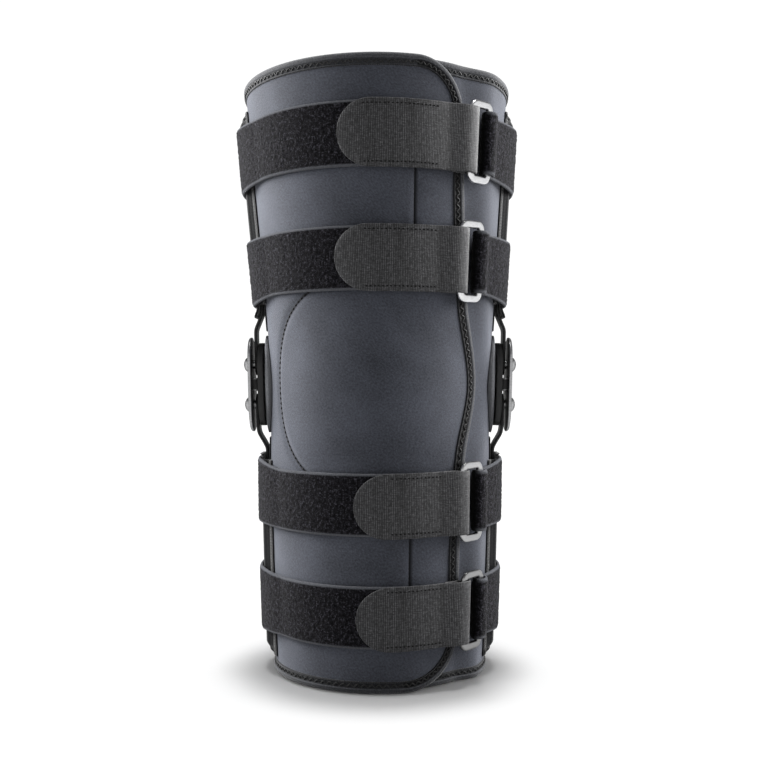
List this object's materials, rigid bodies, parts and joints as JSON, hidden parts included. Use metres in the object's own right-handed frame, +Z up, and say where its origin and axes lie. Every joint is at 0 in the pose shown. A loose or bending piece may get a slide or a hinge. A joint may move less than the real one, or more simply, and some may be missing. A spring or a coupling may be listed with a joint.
{
  "type": "hinged knee brace",
  "caption": "Wraparound neoprene knee brace with a bound front flap, cinch straps through metal rings and jointed side bars held in fabric pockets.",
  "frame": {"origin": "bottom centre of the brace's box, where its lower hem stands on a surface", "axes": "+Z up the leg towards the thigh, front with the tabs towards -Y, hinges on the two X sides"},
  "size_m": [0.1946, 0.1933, 0.4],
  "materials": {
    "neoprene": "charcoal nylon jersey on neoprene, soft sheen",
    "binding": "black knit tape with a zigzag cover stitch",
    "loop_band": "black brushed loop pile on foam",
    "webbing_tab": "dark grey woven tape",
    "ring_metal": "satin silver",
    "pocket_knit": "black ribbed knit with overlocked edges",
    "pad_foam": "grey jersey over foam",
    "bar_metal": "black coating with worn bright edges",
    "plate_metal": "black coating, bright outer face",
    "rivet_metal": "bright steel"
  },
  "bodies": {
    "root": {"wrap": "neoprene", "binding_top": "binding", "binding_flap": "binding", "binding_bottom": "binding", "strap_thigh_upper_band": "loop_band", "strap_thigh_upper_tab": "webbing_tab", "strap_thigh_upper_ring": "ring_metal", "strap_thigh_lower_band": "loop_band", "strap_thigh_lower_tab": "webbing_tab", "strap_thigh_lower_ring": "ring_metal", "strap_calf_upper_band": "loop_band", "strap_calf_upper_tab": "webbing_tab", "strap_calf_upper_ring": "ring_metal", "strap_calf_lower_band": "loop_band", "strap_calf_lower_tab": "webbing_tab", "strap_calf_lower_ring": "ring_metal", "hinge_left_pad": "pad_foam", "hinge_left_inner_plate": "plate_metal", "hinge_left_outer_plate": "plate_metal", "hinge_left_spacer": "rivet_metal", "hinge_left_upper_bar": "bar_metal", "hinge_left_upper_rivet": "rivet_metal", "hinge_left_lower_bar": "bar_metal", "hinge_left_lower_rivet": "rivet_metal", "pocket_left_upper": "pocket_knit", "backing_left_upper": "pocket_knit", "pocket_left_lower": "pocket_knit", "backing_left_lower": "pocket_knit", "hinge_right_pad": "pad_foam", "hinge_right_inner_plate": "plate_metal", "hinge_right_outer_plate": "plate_metal", "hinge_right_spacer": "rivet_metal", "hinge_right_upper_bar": "bar_metal", "hinge_right_upper_rivet": "rivet_metal", "hinge_right_lower_bar": "bar_metal", "hinge_right_lower_rivet": "rivet_metal", "pocket_right_upper": "pocket_knit", "backing_right_upper": "pocket_knit", "pocket_right_lower": "pocket_knit", "backing_right_lower": "pocket_knit"}
  },
  "joints": []
}
